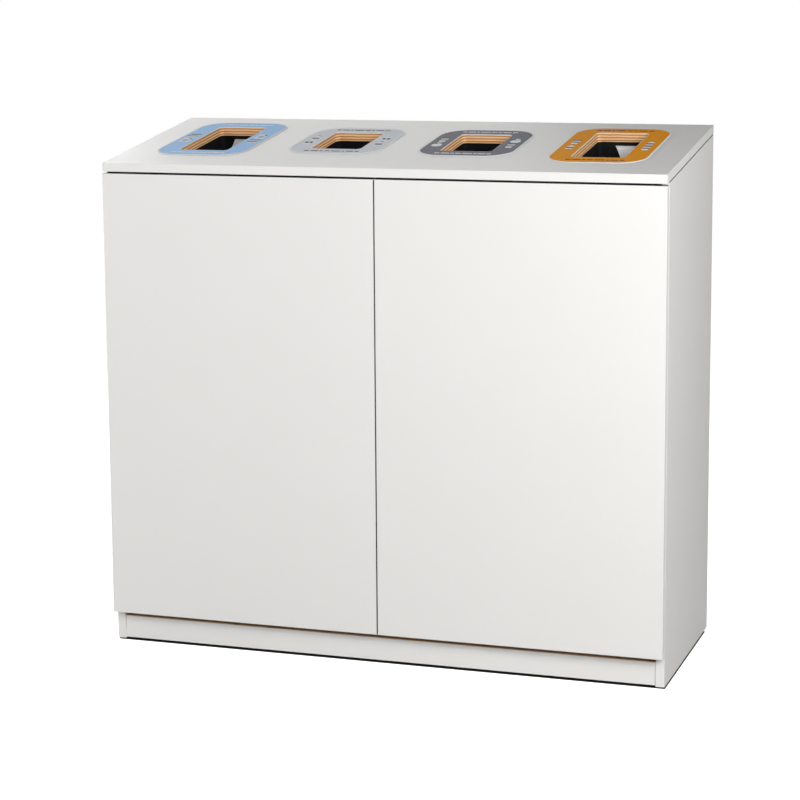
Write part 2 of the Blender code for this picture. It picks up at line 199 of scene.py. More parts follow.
def new_material(name, **fixed):
    """An empty Principled material: its graph, and a function that feeds the shader's sockets."""
    material = bpy.data.materials.new(name)
    material.use_nodes = True
    graph = Graph(material.node_tree)
    shader = material.node_tree.nodes["Principled BSDF"]
    for socket, value in fixed.items():
        shader.inputs[socket.replace("_", " ")].default_value = value

    def feed(**signals):
        for socket, signal in signals.items():
            target = shader.inputs[socket.replace("_", " ")]
            if isinstance(signal, Signal):
                material.node_tree.links.new(signal.socket, target)
            else:
                target.default_value = signal

    return material, graph, feed


def laminate(name, light, dark, roughness):
    """Satin laminate: a faint cloud in the white, pearl grain and an uneven polish."""
    material, graph, feed = new_material(name, Specular_IOR_Level=0.35)
    place = graph.place()
    cloud = graph.noise(place, 5.0, 3.0)
    pearl = graph.noise(place, 1400.0, 2.0)
    wave = graph.noise(place, 26.0, 1.0)
    relief = graph.bump(pearl, 0.10, 0.05 * MM)
    feed(
        Base_Color=graph.mix(cloud, dark, light),
        Roughness=roughness - 0.04 + cloud * 0.06 + pearl * 0.05,
        Normal=graph.bump(wave, 0.05, 0.25 * MM, relief),
    )
    return material


def plywood(name, turn):
    """Bare birch ply on edge: broad pale plies, thin darker end-grain ones and glue lines.

    The turn brings the board's own normal upright.
    """
    material, graph, feed = new_material(name, Specular_IOR_Level=0.2)
    pair = BOARD / 3
    place = graph.place(turn=turn)
    wander = graph.noise(place, 22.0, 2.0)
    height = graph.vector("DOT_PRODUCT", place, (0.0, 0.0, 1.0), 1)
    layer = (height / pair + wander * 0.35).fraction()
    end_grain = layer.smooth(0.60, 0.70) * (1.0 - layer.smooth(0.92, 1.0))
    glue = layer.smooth(0.54, 0.62) * (1.0 - layer.smooth(0.62, 0.72))
    streaks = graph.noise(graph.place((40.0, 40.0, 900.0), turn), 1.0, 4.0, 0.6)
    pores = graph.noise(graph.place((900.0, 900.0, 900.0)), 1.0, 2.0, 0.6)
    pale = graph.mix(streaks, (0.80, 0.43, 0.19), (0.98, 0.66, 0.38))
    deep = graph.mix(pores, (0.30, 0.12, 0.04), (0.58, 0.29, 0.11))
    wood = graph.mix(end_grain, pale, deep)
    feed(
        Base_Color=graph.mix(glue * 0.6, wood, (0.16, 0.06, 0.02)),
        Roughness=0.5 + end_grain * 0.15 + streaks * 0.1,
        Normal=graph.bump(streaks * 0.5 + pores * 0.5 - glue * 0.6, 0.35, 0.12 * MM),
    )
    return material


def print_finish(name, colour):
    """Ink under a matt film: a fine screen in the colour and a soft orange peel in the film."""
    material, graph, feed = new_material(name, Specular_IOR_Level=0.06)
    place = graph.place()
    screen = graph.noise(place, 2600.0, 1.0)
    cloud = graph.noise(place, 12.0, 3.0)
    peel = graph.noise(place, 420.0, 2.0)
    darker = tuple(0.90 * value for value in colour)
    lighter = tuple(min(1.0, 1.06 * value) for value in colour)
    feed(
        Base_Color=graph.mix(screen * 0.4 + cloud * 0.6, darker, lighter),
        Roughness=0.58 + cloud * 0.08,
        Normal=graph.bump(peel, 0.08, 0.06 * MM),
    )
    return material


def moulded_plastic(name, colour, roughness, gloss=0.5):
    """Moulded plastic: leather-fine grain, an uneven sheen and a little dust in the colour."""
    material, graph, feed = new_material(name, Specular_IOR_Level=gloss)
    place = graph.place()
    sockets = {"Vector": place, "Scale": 700.0}
    cells = graph.node("ShaderNodeTexVoronoi", {"feature": "SMOOTH_F1"}, sockets)
    cloud = graph.noise(place, 9.0, 4.0, 0.6)
    dusty = tuple(value * 1.4 + 0.004 for value in colour)
    feed(
        Base_Color=graph.mix(cloud.smooth(0.35, 0.8), colour, dusty),
        Roughness=roughness + cloud * 0.12 - cells * 0.1,
        Normal=graph.bump(cells, 0.35, 0.10 * MM),
    )
    return material


def metal(name, colour, roughness, brushed=(900.0, 900.0, 30.0)):
    """Plated steel: fine drawing lines along the height, and cloudy plating."""
    material, graph, feed = new_material(name, Metallic=1.0)
    lines = graph.noise(graph.place(brushed), 1.0, 3.0, 0.7)
    cloud = graph.noise(graph.place(), 60.0, 3.0)
    darker = tuple(0.78 * value for value in colour)
    feed(
        Base_Color=graph.mix(cloud, darker, colour),
        Roughness=roughness + lines * 0.14 + cloud * 0.08,
        Normal=graph.bump(lines, 0.12, 0.03 * MM),
    )
    return material


# The cabinet's contact shadow on the paper is painted: near black under it, brightening over this
# width.
SHADOW_EDGE = 2 * MM  # over which the paper brightens, all round the cabinet


def stage_finish():
    """White seamless paper: it glows for the lens only, so that it lights nothing.

    Under the cabinet, as far forward as the plinth, it is painted near black and does not glow: a
    painted contact shadow.
    """
    material, graph, feed = new_material("white paper", Roughness=0.7)
    cloud = graph.noise(graph.place(), 1.5, 2.0)
    seen = graph.node("ShaderNodeLightPath")
    offset = graph.vector("ABSOLUTE", graph.place(), (0.0, 0.0, 0.0))
    apart = graph.node("ShaderNodeSeparateXYZ", None, {0: offset})
    half_width = cad_box[1][0]
    half_depth = -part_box("plinth_board")[0].y
    outside_x = apart.smooth(half_width, half_width + SHADOW_EDGE)
    outside_y = graph.more(apart, 1).smooth(half_depth, half_depth + SHADOW_EDGE)
    outside = 1.0 - (1.0 - outside_x) * (1.0 - outside_y)
    paper = graph.mix(cloud, (0.40, 0.40, 0.40), (0.43, 0.43, 0.43))
    feed(
        # Near black inside the footprint is painted shadow; outside it, the paper's own tone.
        Base_Color=graph.mix(outside, (0.02, 0.02, 0.02), paper),
        Emission_Color=graph.mix(outside, (0.0, 0.0, 0.0), (1.0, 1.0, 1.0)),
        Emission_Strength=seen,
    )
    return material


def make_finishes():
    return {
        "white": laminate("white laminate", (0.872, 0.862, 0.840), (0.856, 0.844, 0.820), 0.58),
        "top": laminate("top laminate", (0.765, 0.757, 0.745), (0.742, 0.733, 0.72), 0.46),
        "ply": plywood("sloping ply edge", (-TILT, 0.0, 0.0)),
        "flat_ply": plywood("flat ply edge", (0.0, 0.0, 0.0)),
        "upright_ply": plywood("upright ply edge", (math.pi / 2, 0.0, 0.0)),
        # Near black sheet: painted shadow in the seams, on hidden edges and under the top.
        "painted_shadow": laminate("dark painted seam shadow sheet", (0.05, 0.05, 0.052), (0.04, 0.04, 0.042), 0.6),
        # Near black for the strips that paint shadow into the door gaps.
        "gap_shadow_black": moulded_plastic("black of painted gap shadow", (0.008, 0.008, 0.009), 0.8, 0.15),
        "blue": print_finish("blue print", (0.36, 0.60, 0.93)),
        "light_grey": print_finish("light grey print", (0.70, 0.735, 0.785)),
        "dark_grey": print_finish("dark grey print", (0.195, 0.20, 0.228)),
        "orange": print_finish("orange print", (0.80, 0.31, 0.004)),
        "print_white": print_finish("white print", (0.82, 0.83, 0.84)),
        "print_dark": print_finish("dark print", (0.035, 0.035, 0.045)),
        "black": moulded_plastic("black plastic", (0.016, 0.016, 0.018), 0.42),
        # Near black matt chutes: painted shade for the dark inside under the openings.
        "chute": moulded_plastic("matt black painted interior shade", (0.006, 0.006, 0.007), 0.7, 0.12),
        # White for the plates that paint the patch of light inside the long chutes.
        "painted_light_white": moulded_plastic("white of painted light patch", (0.94, 0.945, 0.95), 0.4),
        "grey": moulded_plastic("grey plastic", (0.36, 0.36, 0.37), 0.42),
        "nickel": metal("nickel plate", (0.80, 0.77, 0.71), 0.20),
        "zinc": metal("zinc plate", (0.72, 0.74, 0.76), 0.28, (400.0, 400.0, 400.0)),
    }


# Making pieces


def keep(name, mesh, finishes, body, replaces=()):
    """Puts a finished mesh in the scene: its materials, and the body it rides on."""
    piece = bpy.data.objects.new(name, mesh)
    bpy.context.scene.collection.objects.link(piece)
    finishes = finishes if isinstance(finishes, (list, tuple)) else [finishes]
    paint = [min(face.material_index, len(finishes) - 1) for face in mesh.polygons]
    mesh.materials.clear()
    for finish in finishes:
        mesh.materials.append(finish)
    mesh.polygons.foreach_set("material_index", paint)
    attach(piece, body)
    if replaces:
        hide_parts(*replaces)
    return piece


def open_slots(mesh, count):
    """Empty material slots, so that faces can hold indices before the finishes are there."""
    for _ in range(count):
        mesh.materials.append(None)


def mesh_from(bm, name, smooth=30.0):
    bmesh.ops.recalc_face_normals(bm, faces=bm.faces[:])
    mesh = bpy.data.meshes.new(name)
    bm.to_mesh(mesh)
    bm.free()
    mesh.shade_smooth()
    mesh.set_sharp_from_angle(angle=math.radians(smooth))
    return mesh


def evaluated(piece):
    """The piece's mesh with its modifiers applied. The piece itself goes."""
    bpy.context.view_layer.update()
    graph = bpy.context.evaluated_depsgraph_get()
    mesh = bpy.data.meshes.new_from_object(piece.evaluated_get(graph))
    bpy.data.objects.remove(piece)
    return mesh


def with_modifiers(mesh, modifiers):
    """A mesh after a list of (type, settings) modifiers."""
    piece = bpy.data.objects.new(mesh.name, mesh)
    bpy.context.scene.collection.objects.link(piece)
    for kind, settings in modifiers:
        modifier = piece.modifiers.new(kind, kind)
        for name, value in settings.items():
            setattr(modifier, name, value)
    return evaluated(piece)


def eased(mesh, radius, segments=3, angle=35.0):
    """A mesh with its sharp edges rounded."""
    bevel = {
        "width": radius,
        "segments": segments,
        "limit_method": "ANGLE",
        "angle_limit": math.radians(angle),
    }
    mesh.shade_smooth()
    flat_first = {"weight": 100, "mode": "FACE_AREA"}
    return with_modifiers(mesh, [("BEVEL", bevel), ("WEIGHTED_NORMAL", flat_first)])


def node_mesh(node):
    """A frame node's own shape as clean flat faces."""
    bm = bmesh.new()
    bm.from_mesh(frame["nodes"][node].data)
    bmesh.ops.remove_doubles(bm, verts=bm.verts, dist=0.005 * MM)
    flat = math.radians(0.6)
    bmesh.ops.dissolve_limit(bm, angle_limit=flat, verts=bm.verts, edges=bm.edges)
    mesh = bpy.data.meshes.new(node)
    bm.to_mesh(mesh)
    bm.free()
    return mesh


def arc_ring(width, length, radius, level, steps, middle=(0.0, 0.0)):
    """Points round a rounded rectangle, anticlockwise."""
    points = []
    for quarter, (sign_x, sign_y) in enumerate(((1, 1), (-1, 1), (-1, -1), (1, -1))):
        for step in range(steps + 1):
            angle = (quarter + step / steps) * math.pi / 2
            x = middle[0] + sign_x * (width / 2 - radius) + radius * math.cos(angle)
            y = middle[1] + sign_y * (length / 2 - radius) + radius * math.sin(angle)
            points.append((x, y, level))
    return points


def skin(name, rings, closed=False, paint=None, smooth=30.0):
    """A skin through rings of equal counts; paint gives each band's material index."""
    bm = bmesh.new()
    rows = [[bm.verts.new(point) for point in ring] for ring in rings]
    pairs = list(zip(rows, rows[1:]))
    if closed:
        pairs.append((rows[-1], rows[0]))
    else:
        bm.faces.new(rows[0])
        bm.faces.new(rows[-1])
    for band, (row, above) in enumerate(pairs):
        for index in range(len(row)):
            after = (index + 1) % len(row)
            face = bm.faces.new((row[index], row[after], above[after], above[index]))
            face.material_index = paint[band] if paint else 0
    return mesh_from(bm, name, smooth)


def joined(name, meshes):
    """Several meshes as one, material indices kept."""
    bm = bmesh.new()
    for mesh in meshes:
        bm.from_mesh(mesh)
    result = bpy.data.meshes.new(name)
    bm.to_mesh(result)
    bm.free()
    return result


# Boards


# How far each board's edges are eased, in millimetres
BOARD_NODES = {
    "left_side_panel": 0.9,
    "right_side_panel": 0.9,
    "centre_partition": 0.7,
    "left_floor_panel": 0.6,
    "right_floor_panel": 0.6,
    "left_front_rail": 0.6,
    "right_front_rail": 0.6,
    "back_panel": 0.5,
    "plinth_board": 0.6,
    "left_door": 0.9,
    "right_door": 0.9,
}
# Edges without the white laminate: the way each faces and its finish. The near black sheet on the
# top edges of the side panels and doors is painted shadow in the seams.
OTHER_EDGES = {
    "left_side_panel": ((0, 0, 1), "painted_shadow"),
    "right_side_panel": ((0, 0, 1), "painted_shadow"),
    "left_floor_panel": ((0, -1, 0), "flat_ply"),
    "right_floor_panel": ((0, -1, 0), "flat_ply"),
    "left_door": ((0, 0, 1), "painted_shadow"),
    "right_door": ((0, 0, 1), "painted_shadow"),
    "plinth_board": ((0, 0, 1), "upright_ply"),
}


def build_boards(finishes):
    for node, radius in BOARD_NODES.items():
        mesh = node_mesh(node)
        open_slots(mesh, 2)
        way, edge = OTHER_EDGES.get(node, ((0, 0, 0), "white"))
        for face in mesh.polygons:
            face.material_index = int(face.normal.dot(Vector(way)) > 0.9)
        mesh = eased(mesh, radius * MM)
        finish = [finishes["white"], finishes[edge]]
        keep(f"{node}_board", mesh, finish, body_of(node), [node])


def build_top(finishes):
    """The top board: greyer laminate above, white edges, a near black underside that is painted
    shade, and bare ply openings.
    """
    mesh = node_mesh("top_panel")
    low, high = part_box("top_panel")
    normal = SLOPE.to_3x3() @ Vector((0, 0, 1))
    open_slots(mesh, 4)
    for face in mesh.polygons:
        inside = low.x + MM < face.center.x < high.x - MM
        inside = inside and low.y + MM < face.center.y < high.y - MM
        if abs(face.normal.dot(normal)) < 0.5:
            face.material_index = 1 if inside else 3
        if face.normal.dot(normal) < -0.9:
            face.material_index = 2
    mesh = eased(mesh, 0.5 * MM)
    finish = [finishes["top"], finishes["ply"], finishes["painted_shadow"], finishes["white"]]
    keep("top_board", mesh, finish, "cabinet", ["top_panel"])


SHADOW_STRIP_SETBACK = 2 * MM  # behind the doors' front faces
SHADOW_STRIP_DEPTH = 7 * MM
SHADOW_STRIP_REACH = 588 * MM  # to each side of the middle


def build_gap_shadow_strips(finishes):
    """Soft black strips that close the gap above the doors and the gap between them, darkening both
    as painted shadow.
    """
    door_low, door_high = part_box("left_door")
    front = door_low.y + SHADOW_STRIP_SETBACK
    back = front + SHADOW_STRIP_DEPTH
    over = door_high.z + 1 * MM
    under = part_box("top_panel")[0].z - 0.2 * MM
    rise = math.tan(TILT)
    section = [
        (front, over),
        (back, over),
        (back, under + rise * (back - door_low.y)),
        (front, under + rise * (front - door_low.y)),
    ]
    ends = (-SHADOW_STRIP_REACH, SHADOW_STRIP_REACH)
    strip = skin("strip", [[(x, y, z) for y, z in section] for x in ends])
    strip = eased(strip, 0.4 * MM)
    keep("top_gap_shadow_strip", strip, finishes["gap_shadow_black"], "cabinet")
    bulb = [(-0.2, 2.0), (1.0, 2.5), (1.5, 5.0), (1.0, 7.5), (-0.2, 8.0)]
    bulb = [(door_high.x + out * MM, door_low.y + depth * MM) for out, depth in bulb]
    levels = (door_low.z + 2 * MM, door_high.z - 2 * MM)
    strip = skin("strip", [[(x, y, z) for x, y in bulb] for z in levels])
    strip = eased(strip, 0.3 * MM)
    keep("middle_gap_shadow_strip", strip, finishes["gap_shadow_black"], "left_door")


# Labels on the top


LABEL_BORDER = 3.0 * MM
# The white print margin round each opening is also a painted highlight along the opening's edge.
HOLE_MARGIN_AND_HIGHLIGHT = 0.9 * MM
LABEL_CORNER = 0.058
OPENING_WIDTH = 0.110
OPENING_CORNER = 0.010
OPENING_LENGTHS = {"blue": 0.235, "light_grey": 0.165, "dark_grey": 0.165, "orange": 0.235}
PRINT_HEIGHT = 0.06 * MM


def label_place(colour):
    """Middle, width and length of a label in slope coordinates, and its upper face's height."""
    back = SLOPE.inverted()
    points = [back @ vert.co for vert in frame["nodes"][f"{colour}_label"].data.vertices]
    low = [min(point[axis] for point in points) for axis in range(3)]
    high = [max(point[axis] for point in points) for axis in range(3)]
    middle = ((low[0] + high[0]) / 2, (low[1] + high[1]) / 2)
    return middle, high[0] - low[0], high[1] - low[1], low[2], high[2]


def build_label(finishes, colour):
    """A sheet with a white border and round corners, printed in the stream's colour."""
    middle, width, length, under, upper = label_place(colour)
    hole = (OPENING_WIDTH + 0.6 * MM, OPENING_LENGTHS[colour] + 0.6 * MM)
    steps = 16
    ease = 0.25 * MM

    def ring(inset, level):
        size = (width - 2 * inset, length - 2 * inset)
        return arc_ring(*size, LABEL_CORNER - inset, level, steps, middle)

    def hole_ring(inset, level):
        size = (hole[0] + 2 * inset, hole[1] + 2 * inset)
        return arc_ring(*size, OPENING_CORNER + inset, level, steps, middle)

    rings = [
        ring(0, under),
        ring(0, upper - ease),
        ring(ease, upper),
        ring(LABEL_BORDER, upper),
        hole_ring(HOLE_MARGIN_AND_HIGHLIGHT, upper),
        hole_ring(ease, upper),
        hole_ring(0, upper - ease),
        hole_ring(0, under),
    ]
    mesh = skin(f"{colour}_label_sheet", rings, True, (0, 0, 0, 1, 0, 0, 0, 0), 40.0)
    mesh.transform(SLOPE)
    node = f"{colour}_label"
    finish = [finishes["print_white"], finishes[colour]]
    keep(f"{colour}_label_sheet", mesh, finish, "cabinet", [node])
    build_prints(finishes, colour, middle, width, length, upper)


def flat_shape(outline, level, height):
    """A thin closed plate with this outline, lying at the level."""
    bm = bmesh.new()
    base = bm.faces.new([bm.verts.new((x, y, level)) for x, y in outline])
    grown = bmesh.ops.extrude_face_region(bm, geom=[base])["geom"]
    moved = [item for item in grown if isinstance(item, bmesh.types.BMVert)]
    bmesh.ops.translate(bm, verts=moved, vec=(0, 0, height))
    return mesh_from(bm, "print")


def disc(radius, middle=(0.0, 0.0), steps=20):
    turns = [2 * math.pi * step / steps for step in range(steps)]
    return [(middle[0] + radius * math.cos(t), middle[1] + radius * math.sin(t)) for t in turns]


def bar(x, y, width, length):
    """A rectangle about (x, y), anticlockwise."""
    corners = ((-0.5, -0.5), (0.5, -0.5), (0.5, 0.5), (-0.5, 0.5))
    return [(x + u * width, y + v * length) for u, v in corners]


# Pictograms, as (paint, outline) lists in a box 1 wide and 1 high about their middle.
# Paint 0 is white, 1 is dark.


def sheet_sign():
    """A sheet of paper with a folded corner and ruled lines."""
    page = [(-0.34, -0.5), (0.34, -0.5), (0.34, 0.26), (0.10, 0.5), (-0.34, 0.5)]
    fold = [(0.10, 0.5), (0.34, 0.26), (0.10, 0.26)]
    rules = [(1, bar(0.0, y, 0.44, 0.05)) for y in (-0.32, -0.16, 0.0, 0.14)]
    return [(0, page), (1, fold)] + rules


def stack_sign():
    """Sheets in a loose pile, seen from the side."""
    sheets = ((0, 0.05, -0.3), (1, -0.04, -0.1), (0, 0.03, 0.1), (1, 0.0, 0.3))
    return [(paint, bar(x, y, 0.76, 0.15)) for paint, x, y in sheets]


def can_sign():
    """A drinks can with a band round it."""
    body = [(-0.26, -0.42), (-0.18, -0.5), (0.18, -0.5), (0.26, -0.42)]
    body += [(0.26, 0.36), (0.18, 0.46), (-0.18, 0.46), (-0.26, 0.36)]
    return [(0, body), (1, bar(0.0, -0.02, 0.52, 0.34)), (0, disc(0.10, (0.0, -0.02), 14))]


def bottle_sign():
    """A bottle with a cap and a label."""
    body = [(-0.22, -0.5), (0.22, -0.5), (0.24, -0.44), (0.24, 0.06), (0.09, 0.26)]
    body += [(0.09, 0.38), (-0.09, 0.38), (-0.09, 0.26), (-0.24, 0.06), (-0.24, -0.44)]
    return [(0, body), (1, bar(0.0, 0.45, 0.22, 0.10)), (1, bar(0.0, -0.18, 0.48, 0.24))]


def bag_sign():
    """A tied sack."""
    turns = [math.radians(angle) for angle in range(-230, 51, 20)]
    body = [(0.36 * math.cos(t), -0.14 + 0.36 * math.sin(t)) for t in turns]
    ears = [(-0.05, 0.2), (-0.2, 0.46), (0.2, 0.46), (0.05, 0.2)]
    return [(0, body), (0, ears), (1, bar(0.0, 0.17, 0.26, 0.06))]


def cup_sign():
    """A paper cup with a lid."""
    body = [(-0.2, -0.5), (0.2, -0.5), (0.28, 0.3), (-0.28, 0.3)]
    lid = [(-0.32, 0.3), (0.32, 0.3), (0.26, 0.44), (-0.26, 0.44)]
    return [(0, body), (1, lid), (1, bar(0.0, -0.06, 0.48, 0.2))]


SIGNS = {
    "blue": (sheet_sign, stack_sign, stack_sign, sheet_sign),
    "light_grey": (can_sign, bottle_sign, bottle_sign, can_sign),
    "dark_grey": (bag_sign, cup_sign, cup_sign, bag_sign),
    "orange": (bottle_sign, cup_sign, cup_sign, bottle_sign),
}
SIGN_SIZE = (0.031, 0.040)
SIGN_SPACING = 0.047
DASH_PAINT = {"blue": 0, "light_grey": 1, "dark_grey": 0, "orange": 1}
DASH_LENGTHS = (9.0, 16.0, 6.0, 21.0, 12.0, 7.0, 18.0, 11.0)  # millimetres, left to right
DASH_GAP = 3.0 * MM
DASH_HEIGHT = 6.5 * MM


def build_prints(finishes, colour, middle, width, length, upper):
    """Signs beside the opening, and rows of dashes before and behind it."""
    made = []
    band_x = (width + OPENING_WIDTH) / 4
    band_y = (length + OPENING_LENGTHS[colour]) / 4
    places = [(side, row) for side in (-1, 1) for row in (-0.5, 0.5)]
    for sign, (side, row) in zip(SIGNS[colour], places):
        x0 = middle[0] + side * band_x
        y0 = middle[1] + row * SIGN_SPACING
        for order, (paint, outline) in enumerate(sign()):
            points = [(x0 + x * SIGN_SIZE[0], y0 + y * SIGN_SIZE[1]) for x, y in outline]
            plate = flat_shape(points, upper, PRINT_HEIGHT * (1 + 0.5 * min(order, 4)))
            made.append((paint, plate))
    dashes = [size * MM for size in DASH_LENGTHS]
    row_length = sum(dashes) + DASH_GAP * (len(dashes) - 1)
    for end in (-1, 1):
        x = middle[0] - row_length / 2
        for size in dashes[::end]:
            outline = bar(x + size / 2, middle[1] + end * band_y, size, DASH_HEIGHT)
            made.append((DASH_PAINT[colour], flat_shape(outline, upper, PRINT_HEIGHT)))
            x += size + DASH_GAP
    for paint, plate in made:
        open_slots(plate, 2)
        for face in plate.polygons:
            face.material_index = paint
    mesh = joined(f"{colour}_label_print", [plate for _, plate in made])
    mesh.transform(SLOPE)
    finish = [finishes["print_white"], finishes["print_dark"]]
    keep(f"{colour}_label_print", mesh, finish, "cabinet")


# Chutes and bins


# The chutes' near black is painted shade for the cabinet's dark inside.
def build_chutes(finishes):
    for colour in COLOURS:
        node = f"{colour}_chute"
        mesh = eased(node_mesh(node), 0.7 * MM)
        keep(f"{node}_moulding", mesh, finishes["chute"], "cabinet", [node])


# A white plate shaped as a bag clip stands at the back of each long chute: a painted patch of the
# light that falls through the opening onto the back wall. Its inner edge leans: these are the
# edge's X from the chute's middle, at the plate's top and at its foot.
LIGHT_PATCH_EDGES = {"blue": (-0.023, -0.041), "orange": (-0.017, -0.004)}
LIGHT_PATCH_TOP = 0.026  # below the top board's upper face
LIGHT_PATCH_FOOT = 0.062
LIGHT_PATCH_THICKNESS = 1.5 * MM
LIP_DEPTH = 4 * MM


def chute_points(colour):
    """A chute's points in slope coordinates."""
    back = SLOPE.inverted()
    return [back @ vert.co for vert in frame["nodes"][f"{colour}_chute"].data.vertices]


def build_light_patch_plates(finishes):
    """A thin white plate against the back wall of a chute, with a folded lip along its top: a
    painted light patch.
    """
    for colour, (top_edge, foot_edge) in LIGHT_PATCH_EDGES.items():
        middle = label_place(colour)[0]
        right = middle[0] + OPENING_WIDTH / 2 + 1 * MM
        y = middle[1] + OPENING_LENGTHS[colour] / 2 + 1.2 * MM
        outline = [
            (middle[0] + top_edge, -LIGHT_PATCH_TOP),
            (middle[0] + foot_edge, -LIGHT_PATCH_FOOT),
            (right, -LIGHT_PATCH_FOOT),
            (right, -LIGHT_PATCH_TOP),
        ]
        plate = skin("painted_light_white", [[(x, y - t, z) for x, z in outline] for t in (0.0, LIGHT_PATCH_THICKNESS)])
        lip_x = (right + middle[0] + top_edge) / 2
        lip = bar(lip_x, y - LIP_DEPTH / 2, right - middle[0] - top_edge, LIP_DEPTH)
        lip = skin("lip", [[(x, d, -LIGHT_PATCH_TOP + t) for x, d in lip] for t in (-MM, 0.0)])
        parts = [eased(plate, 0.4 * MM), eased(lip, 0.3 * MM)]
        mesh = joined(f"{colour}_light_patch_plate", parts)
        mesh.transform(SLOPE)
        keep(f"{colour}_light_patch_plate", mesh, finishes["painted_light_white"], "cabinet")


BIN_RIM = 0.010  # how far the rim stands out
BIN_WALL = 0.003
BIN_DRAFT = 0.014
BIN_CORNER = 0.035
INNER_CORNER = 0.034
NECK = 0.80  # share of the height where the bin widens to stack
RIM_EASE = 3.9 * MM  # radius of the rim's rolled edge


def bin_rings(width, length, base, height):
    """Rings of a moulded bin from its foot, up outside, over the rolled rim and down inside."""
    steps = 8
    body_w, body_l = width - 2 * BIN_RIM, length - 2 * BIN_RIM

    def ring(level, grow=0.0, corner=BIN_CORNER):
        share = level / height
        inset = BIN_DRAFT * (1 - share) - grow
        size = (body_w - 2 * inset, body_l - 2 * inset)
        return arc_ring(*size, corner + grow, base + level, steps)

    rings = [
        ring(3 * MM, -9 * MM),
        ring(0, -7 * MM),
        ring(0, -4 * MM),
        ring(2 * MM, -2 * MM),
        ring(12 * MM, -2 * MM),
        ring(14 * MM),
        ring(height * NECK),
        ring(height * NECK + 4 * MM, 1.5 * MM),
        ring(height - 30 * MM, 1.5 * MM),
        ring(height - 28 * MM, 3 * MM),
        ring(height - 18 * MM, 3 * MM),
        ring(height - 18 * MM, BIN_RIM - 2.2 * MM),
        ring(height - 17 * MM, BIN_RIM - 0.3 * MM),
        ring(height - 4 * MM, BIN_RIM - 0.3 * MM),
    ]
    for turn in range(1, 6):
        angle = turn / 6 * math.pi / 2
        grow = BIN_RIM - 4.2 * MM + RIM_EASE * math.cos(angle)
        rings.append(ring(height - 4 * MM + RIM_EASE * math.sin(angle), grow))
    rings += [
        ring(height - 0.1 * MM, 2.0 * MM),
        ring(height - 2.0 * MM, -BIN_WALL),
        ring(height * NECK, -BIN_WALL, INNER_CORNER),
        ring(20 * MM, -BIN_WALL, INNER_CORNER),
        ring(7 * MM, -BIN_WALL - 5 * MM, INNER_CORNER),
        ring(5 * MM, -BIN_WALL - 12 * MM, INNER_CORNER),
    ]
    return rings


def build_bins(finishes):
    ribs = rib_tree()
    for colour in COLOURS:
        node = f"{colour}_stream_bin"
        low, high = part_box(node)
        size = high - low
        shell = skin(f"{colour}_bin_shell", bin_rings(size.x, size.y, low.z, size.z), smooth=50.0)
        place = Matrix.Translation(((low.x + high.x) / 2, (low.y + high.y) / 2, 0))
        shell.transform(place)
        body = body_of(node)
        keep(f"{colour}_bin_shell", shell, finishes["black"], body, [node])
        around = (size.x - 2 * BIN_RIM, size.y - 2 * BIN_RIM)
        path = arc_ring(*around, BIN_CORNER, high.z - 23 * MM, 8)
        path = [place @ Vector(point) for point in path]
        fins = along_path(ribs, path, {"Rib spacing": 24.0 * MM}, finishes["black"])
        keep(f"{colour}_bin_rim_ribs", fins, finishes["black"], body)
        grip = grip_mesh(low, high)
        keep(f"{colour}_bin_grip", grip, finishes["black"], body)


GRIP_DROP = 62 * MM  # below the rim's top
GRIP_REACH = 45 * MM  # to each side of the bin's middle
GRIP_RADIUS = 4 * MM


def grip_mesh(low, high):
    """A moulded grip under the front of the rim: a round bar between two cheeks."""
    middle = (low.x + high.x) / 2
    front = low.y + BIN_RIM
    level = high.z - GRIP_DROP
    bar_rings = []
    for x in (-GRIP_REACH, GRIP_REACH):
        round_bar = disc(GRIP_RADIUS, (front - GRIP_RADIUS, level))
        bar_rings.append([(middle + x, y, z) for y, z in round_bar])
    parts = [skin("grip bar", bar_rings, smooth=60.0)]
    for side in (-1, 1):
        x = middle + side * GRIP_REACH
        outline = [(front - 9 * MM, level - 5 * MM), (front + 5 * MM, level - 16 * MM)]
        outline += [(front + 5 * MM, level + 16 * MM), (front - 9 * MM, level + 5 * MM)]
        rings = [[(x + side * shift, y, z) for y, z in outline] for shift in (0.0, 4 * MM)]
        parts.append(eased(skin("grip cheek", rings), 1.2 * MM))
    return joined("grip", parts)


# Geometry trees for what repeats


def tree_inputs(name, sizes):
    """A geometry tree with a Geometry input, named size inputs and a Finish input."""
    tree = bpy.data.node_groups.new(name, "GeometryNodeTree")
    tree.interface.new_socket("Geometry", in_out="INPUT", socket_type="NodeSocketGeometry")
    for label, value in sizes.items():
        kind = "NodeSocketInt" if isinstance(value, int) else "NodeSocketFloat"
        socket = tree.interface.new_socket(label, in_out="INPUT", socket_type=kind)
        socket.default_value = value
    tree.interface.new_socket("Finish", in_out="INPUT", socket_type="NodeSocketMaterial")
    tree.interface.new_socket("Geometry", in_out="OUTPUT", socket_type="NodeSocketGeometry")
    graph = Graph(tree)
    given = graph.node("NodeGroupInput")
    inputs = {s.name: Signal(graph, s) for s in given.socket.node.outputs if s.name}
    return tree, graph, inputs


def end_tree(graph, geometry, finish):
    """Realises the instances, sets the material and ends the tree."""
    real = graph.node("GeometryNodeRealizeInstances", None, {0: geometry})
    painted = graph.node("GeometryNodeSetMaterial", None, {"Geometry": real, "Material": finish})
    end = graph.tree.nodes.new("NodeGroupOutput")
    graph.tree.links.new(painted.socket, end.inputs[0])


